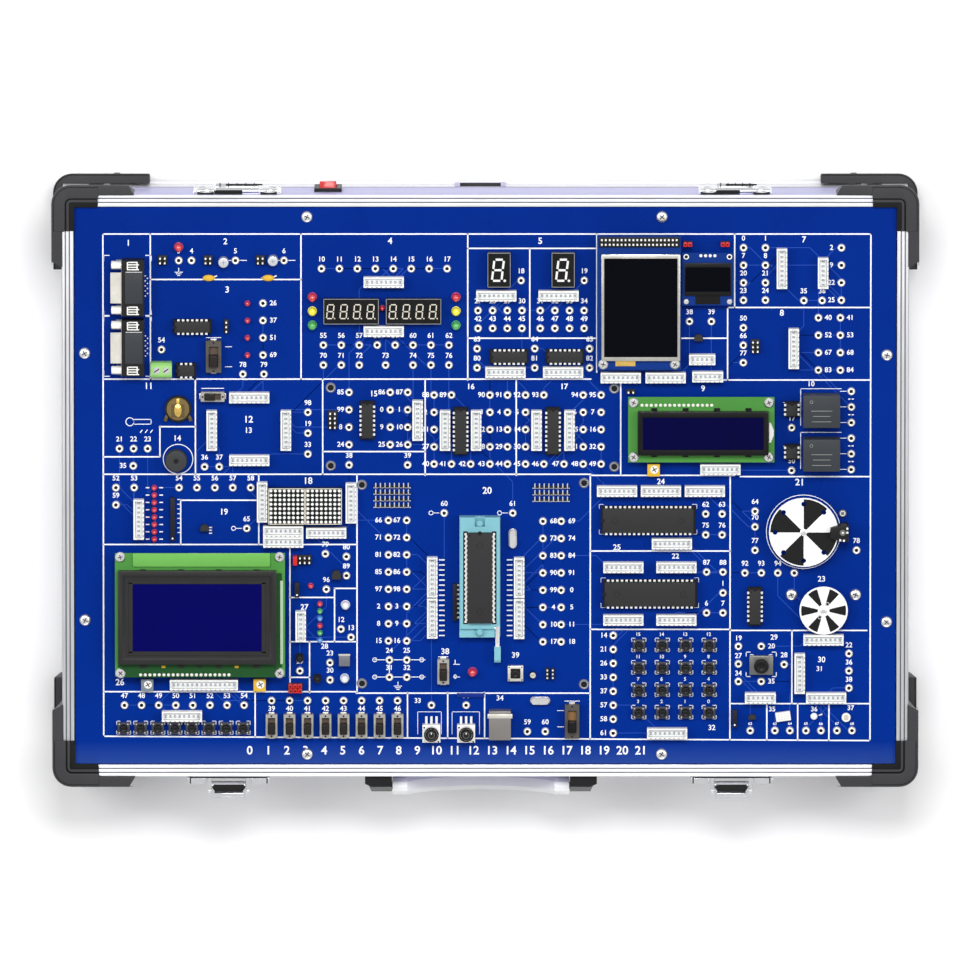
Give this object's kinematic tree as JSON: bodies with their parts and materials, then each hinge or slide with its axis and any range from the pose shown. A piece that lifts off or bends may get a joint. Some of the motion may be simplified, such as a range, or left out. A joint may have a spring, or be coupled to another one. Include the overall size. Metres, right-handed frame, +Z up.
{
  "type": "microcontroller trainer",
  "caption": "Microcontroller trainer: a board of patch sockets, keys, displays, motors and socketed chips set in a flat aluminium carrying case.",
  "frame": {"origin": "centre of the footprint's bounding box, latches to hinges, on the underside of the lower guards", "axes": "+X along the hinge side, +Y towards the hinges, +Z up out of the board"},
  "size_m": [0.476, 0.3396, 0.0916],
  "materials": {
    "case_panel": "brushed sheet over board",
    "rail": "satin extrusion",
    "guard": "dark grey, bare at the bevels",
    "board": "blue solder mask with white print",
    "socket": "plated",
    "connector": "off-white nylon",
    "chip": "moulded epoxy",
    "display": "black bezels on small boards",
    "housing": "switch bodies and lever socket",
    "component": "mixed components",
    "motor": "plated cans",
    "power": "black inlet, plated supply",
    "hardware": "plated",
    "key": "black plunger",
    "slide_key": "cream knob",
    "slide_black": "moulded",
    "knob": "moulded",
    "disc": "black and white sectors",
    "lever": "plated",
    "rocker": "red moulding",
    "latch": "plated",
    "handle": "grey grip"
  },
  "bodies": {
    "case": {"case_panels": "case_panel", "case_rails": "rail", "corner_guards": "guard", "circuit_board": "board", "patch_sockets": "socket", "pin_connectors": "connector", "chip_packages": "chip", "display_modules": "display", "control_housings": "housing", "board_parts": "component", "drive_motors": "motor", "power_unit": "power", "case_hardware": "hardware"},
    "matrix_key_1": {"matrix_key_1": "key"},
    "matrix_key_2": {"matrix_key_2": "key"},
    "matrix_key_3": {"matrix_key_3": "key"},
    "matrix_key_4": {"matrix_key_4": "key"},
    "matrix_key_5": {"matrix_key_5": "key"},
    "matrix_key_6": {"matrix_key_6": "key"},
    "matrix_key_7": {"matrix_key_7": "key"},
    "matrix_key_8": {"matrix_key_8": "key"},
    "matrix_key_9": {"matrix_key_9": "key"},
    "matrix_key_10": {"matrix_key_10": "key"},
    "matrix_key_11": {"matrix_key_11": "key"},
    "matrix_key_12": {"matrix_key_12": "key"},
    "matrix_key_13": {"matrix_key_13": "key"},
    "matrix_key_14": {"matrix_key_14": "key"},
    "matrix_key_15": {"matrix_key_15": "key"},
    "matrix_key_16": {"matrix_key_16": "key"},
    "push_key_10": {"push_key_10": "key"},
    "push_key_11": {"push_key_11": "key"},
    "push_key_12": {"push_key_12": "key"},
    "push_key_13": {"push_key_13": "key"},
    "push_key_14": {"push_key_14": "key"},
    "push_key_15": {"push_key_15": "key"},
    "push_key_16": {"push_key_16": "key"},
    "push_key_17": {"push_key_17": "key"},
    "reset_key": {"reset_key": "key"},
    "slide_key_1": {"slide_key_1": "slide_key"},
    "slide_key_2": {"slide_key_2": "slide_key"},
    "slide_key_3": {"slide_key_3": "slide_key"},
    "slide_key_4": {"slide_key_4": "slide_key"},
    "slide_key_5": {"slide_key_5": "slide_key"},
    "slide_key_6": {"slide_key_6": "slide_key"},
    "slide_key_7": {"slide_key_7": "slide_key"},
    "slide_key_8": {"slide_key_8": "slide_key"},
    "cpu_power_slide": {"cpu_power_slide": "slide_black"},
    "mode_slide": {"mode_slide": "slide_black"},
    "zone_slide": {"zone_slide": "slide_black"},
    "usb_slide": {"usb_slide": "slide_black"},
    "speed_knob": {"speed_knob": "knob"},
    "voltage_knob": {"voltage_knob": "knob"},
    "joystick_cap": {"joystick_cap": "knob"},
    "dc_motor_disc": {"dc_motor_disc": "disc"},
    "step_motor_disc": {"step_motor_disc": "disc"},
    "zif_lever": {"zif_lever": "lever"},
    "mains_rocker": {"mains_rocker": "rocker"},
    "left_latch": {"left_latch": "latch"},
    "right_latch": {"right_latch": "latch"},
    "carrying_handle": {"carrying_handle": "handle"}
  },
  "joints": [
    {"name": "matrix_key_1_travel", "type": "slide", "parent": "case", "child": "matrix_key_1", "axis": [0, 0, -1], "range_m": [0, 0.00025], "stiffness_N_per_m": 400},
    {"name": "matrix_key_2_travel", "type": "slide", "parent": "case", "child": "matrix_key_2", "axis": [0, 0, -1], "range_m": [0, 0.00025], "stiffness_N_per_m": 400},
    {"name": "matrix_key_3_travel", "type": "slide", "parent": "case", "child": "matrix_key_3", "axis": [0, 0, -1], "range_m": [0, 0.00025], "stiffness_N_per_m": 400},
    {"name": "matrix_key_4_travel", "type": "slide", "parent": "case", "child": "matrix_key_4", "axis": [0, 0, -1], "range_m": [0, 0.00025], "stiffness_N_per_m": 400},
    {"name": "matrix_key_5_travel", "type": "slide", "parent": "case", "child": "matrix_key_5", "axis": [0, 0, -1], "range_m": [0, 0.00025], "stiffness_N_per_m": 400},
    {"name": "matrix_key_6_travel", "type": "slide", "parent": "case", "child": "matrix_key_6", "axis": [0, 0, -1], "range_m": [0, 0.00025], "stiffness_N_per_m": 400},
    {"name": "matrix_key_7_travel", "type": "slide", "parent": "case", "child": "matrix_key_7", "axis": [0, 0, -1], "range_m": [0, 0.00025], "stiffness_N_per_m": 400},
    {"name": "matrix_key_8_travel", "type": "slide", "parent": "case", "child": "matrix_key_8", "axis": [0, 0, -1], "range_m": [0, 0.00025], "stiffness_N_per_m": 400},
    {"name": "matrix_key_9_travel", "type": "slide", "parent": "case", "child": "matrix_key_9", "axis": [0, 0, -1], "range_m": [0, 0.00025], "stiffness_N_per_m": 400},
    {"name": "matrix_key_10_travel", "type": "slide", "parent": "case", "child": "matrix_key_10", "axis": [0, 0, -1], "range_m": [0, 0.00025], "stiffness_N_per_m": 400},
    {"name": "matrix_key_11_travel", "type": "slide", "parent": "case", "child": "matrix_key_11", "axis": [0, 0, -1], "range_m": [0, 0.00025], "stiffness_N_per_m": 400},
    {"name": "matrix_key_12_travel", "type": "slide", "parent": "case", "child": "matrix_key_12", "axis": [0, 0, -1], "range_m": [0, 0.00025], "stiffness_N_per_m": 400},
    {"name": "matrix_key_13_travel", "type": "slide", "parent": "case", "child": "matrix_key_13", "axis": [0, 0, -1], "range_m": [0, 0.00025], "stiffness_N_per_m": 400},
    {"name": "matrix_key_14_travel", "type": "slide", "parent": "case", "child": "matrix_key_14", "axis": [0, 0, -1], "range_m": [0, 0.00025], "stiffness_N_per_m": 400},
    {"name": "matrix_key_15_travel", "type": "slide", "parent": "case", "child": "matrix_key_15", "axis": [0, 0, -1], "range_m": [0, 0.00025], "stiffness_N_per_m": 400},
    {"name": "matrix_key_16_travel", "type": "slide", "parent": "case", "child": "matrix_key_16", "axis": [0, 0, -1], "range_m": [0, 0.00025], "stiffness_N_per_m": 400},
    {"name": "push_key_10_travel", "type": "slide", "parent": "case", "child": "push_key_10", "axis": [0, 0, -1], "range_m": [0, 0.00025], "stiffness_N_per_m": 400},
    {"name": "push_key_11_travel", "type": "slide", "parent": "case", "child": "push_key_11", "axis": [0, 0, -1], "range_m": [0, 0.00025], "stiffness_N_per_m": 400},
    {"name": "push_key_12_travel", "type": "slide", "parent": "case", "child": "push_key_12", "axis": [0, 0, -1], "range_m": [0, 0.00025], "stiffness_N_per_m": 400},
    {"name": "push_key_13_travel", "type": "slide", "parent": "case", "child": "push_key_13", "axis": [0, 0, -1], "range_m": [0, 0.00025], "stiffness_N_per_m": 400},
    {"name": "push_key_14_travel", "type": "slide", "parent": "case", "child": "push_key_14", "axis": [0, 0, -1], "range_m": [0, 0.00025], "stiffness_N_per_m": 400},
    {"name": "push_key_15_travel", "type": "slide", "parent": "case", "child": "push_key_15", "axis": [0, 0, -1], "range_m": [0, 0.00025], "stiffness_N_per_m": 400},
    {"name": "push_key_16_travel", "type": "slide", "parent": "case", "child": "push_key_16", "axis": [0, 0, -1], "range_m": [0, 0.00025], "stiffness_N_per_m": 400},
    {"name": "push_key_17_travel", "type": "slide", "parent": "case", "child": "push_key_17", "axis": [0, 0, -1], "range_m": [0, 0.00025], "stiffness_N_per_m": 400},
    {"name": "reset_key_travel", "type": "slide", "parent": "case", "child": "reset_key", "axis": [0, 0, -1], "range_m": [0, 0.00025], "stiffness_N_per_m": 400},
    {"name": "slide_key_1_travel", "type": "slide", "parent": "case", "child": "slide_key_1", "axis": [0, 1, 0], "range_m": [0, 0.0025]},
    {"name": "slide_key_2_travel", "type": "slide", "parent": "case", "child": "slide_key_2", "axis": [0, 1, 0], "range_m": [0, 0.0025]},
    {"name": "slide_key_3_travel", "type": "slide", "parent": "case", "child": "slide_key_3", "axis": [0, 1, 0], "range_m": [0, 0.0025]},
    {"name": "slide_key_4_travel", "type": "slide", "parent": "case", "child": "slide_key_4", "axis": [0, 1, 0], "range_m": [0, 0.0025]},
    {"name": "slide_key_5_travel", "type": "slide", "parent": "case", "child": "slide_key_5", "axis": [0, 1, 0], "range_m": [0, 0.0025]},
    {"name": "slide_key_6_travel", "type": "slide", "parent": "case", "child": "slide_key_6", "axis": [0, 1, 0], "range_m": [0, 0.0025]},
    {"name": "slide_key_7_travel", "type": "slide", "parent": "case", "child": "slide_key_7", "axis": [0, 1, 0], "range_m": [0, 0.0025]},
    {"name": "slide_key_8_travel", "type": "slide", "parent": "case", "child": "slide_key_8", "axis": [0, 1, 0], "range_m": [0, 0.0025]},
    {"name": "cpu_power_slide_travel", "type": "slide", "parent": "case", "child": "cpu_power_slide", "axis": [0, 1, 0], "range_m": [0, 0.003]},
    {"name": "mode_slide_travel", "type": "slide", "parent": "case", "child": "mode_slide", "axis": [0, 1, 0], "range_m": [0, 0.004]},
    {"name": "zone_slide_travel", "type": "slide", "parent": "case", "child": "zone_slide", "axis": [1, 0, 0], "range_m": [0, 0.003]},
    {"name": "usb_slide_travel", "type": "slide", "parent": "case", "child": "usb_slide", "axis": [0, 1, 0], "range_m": [0, 0.005]},
    {"name": "speed_knob_turn", "type": "hinge", "parent": "case", "child": "speed_knob", "pos_m": [-0.0295, -0.13305, 0.076], "axis": [0, 0, 1], "range_deg": [-140, 140]},
    {"name": "voltage_knob_turn", "type": "hinge", "parent": "case", "child": "voltage_knob", "pos_m": [-0.0105, -0.13305, 0.076], "axis": [0, 0, 1], "range_deg": [-140, 140]},
    {"name": "joystick_cap_turn", "type": "hinge", "parent": "case", "child": "joystick_cap", "pos_m": [0.151, -0.09555, 0.07855], "axis": [1, 0, 0], "range_deg": [-7, 7], "stiffness_Nm_per_rad": 0.02},
    {"name": "dc_motor_disc_turn", "type": "hinge", "parent": "case", "child": "dc_motor_disc", "pos_m": [0.174, -0.02155, 0.076], "axis": [0, 0, 1], "continuous": true},
    {"name": "step_motor_disc_turn", "type": "hinge", "parent": "case", "child": "step_motor_disc", "pos_m": [0.185, -0.06505, 0.076], "axis": [0, 0, 1], "continuous": true},
    {"name": "zif_lever_turn", "type": "hinge", "parent": "case", "child": "zif_lever", "pos_m": [0.00815, -0.07475, 0.0822], "axis": [-1, 0, 0], "range_deg": [0, 90]},
    {"name": "mains_rocker_turn", "type": "hinge", "parent": "case", "child": "mains_rocker", "pos_m": [-0.086, 0.163, 0.053], "axis": [1, 0, 0], "range_deg": [0, 24]},
    {"name": "left_latch_turn", "type": "hinge", "parent": "case", "child": "left_latch", "pos_m": [-0.1405, -0.1638, 0.071], "axis": [-1, 0, 0], "range_deg": [0, 105]},
    {"name": "right_latch_turn", "type": "hinge", "parent": "case", "child": "right_latch", "pos_m": [0.1348, -0.1638, 0.071], "axis": [-1, 0, 0], "range_deg": [0, 105]},
    {"name": "carrying_handle_turn", "type": "hinge", "parent": "case", "child": "carrying_handle", "pos_m": [-0.0024, -0.1643, 0.062], "axis": [-1, 0, 0], "range_deg": [0, 90]}
  ]
}
